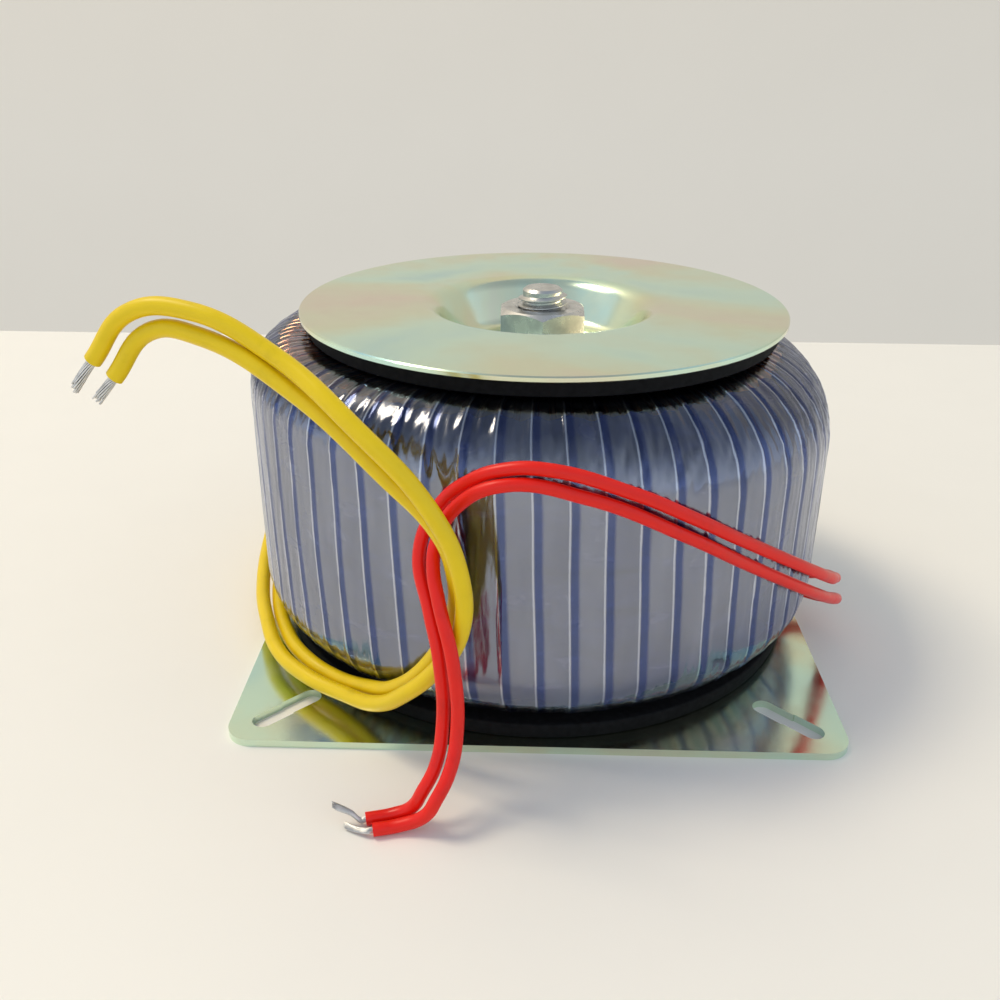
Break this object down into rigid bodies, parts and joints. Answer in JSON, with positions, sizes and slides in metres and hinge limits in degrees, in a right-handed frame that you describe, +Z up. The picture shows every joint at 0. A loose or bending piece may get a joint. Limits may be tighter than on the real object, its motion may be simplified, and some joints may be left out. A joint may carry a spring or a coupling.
{
  "type": "toroidal transformer",
  "caption": "Chassis-mount toroidal transformer: a film-wrapped ring winding clamped by one bolt between a dished washer and a square slotted plate, with bare-ended leads.",
  "frame": {"origin": "on the clamp bolt's axis, at the underside of the base plate", "axes": "+Z up along the bolt, +X to the right and +Y away from the side where the leads cross"},
  "size_m": [0.1442, 0.1413, 0.0825],
  "materials": {
    "passivated_steel": "yellow-green passivated zinc, glossy",
    "zinc_steel": "bright zinc",
    "rubber": "black, matt",
    "core_steel": "silicon steel strip edges",
    "insulation": "matt tape",
    "enamelled_copper": "enamelled copper, glossy",
    "blue_film": "deep blue polyester tape, glossy",
    "outer_film": "clear blue polyester film, glossy",
    "yellow_sleeve": "soft plastic sleeve",
    "red_sleeve": "soft plastic sleeve",
    "tinned_copper": "tinned strands"
  },
  "bodies": {
    "root": {"base_plate": "passivated_steel", "lower_rubber_pad": "rubber", "steel_core": "core_steel", "core_insulation": "insulation", "primary_winding": "enamelled_copper", "winding_insulation": "insulation", "secondary_winding": "enamelled_copper", "blue_film_band": "blue_film", "outer_film_wrap": "outer_film", "upper_rubber_pad": "rubber", "dished_washer": "passivated_steel", "clamp_bolt": "zinc_steel", "clamp_nut": "zinc_steel", "yellow_lead_1": "yellow_sleeve", "yellow_lead_1_tinned_end": "tinned_copper", "yellow_lead_2": "yellow_sleeve", "yellow_lead_2_tinned_end": "tinned_copper", "red_lead_1": "red_sleeve", "red_lead_1_tinned_end": "tinned_copper", "red_lead_2": "red_sleeve", "red_lead_2_tinned_end": "tinned_copper"}
  },
  "joints": []
}
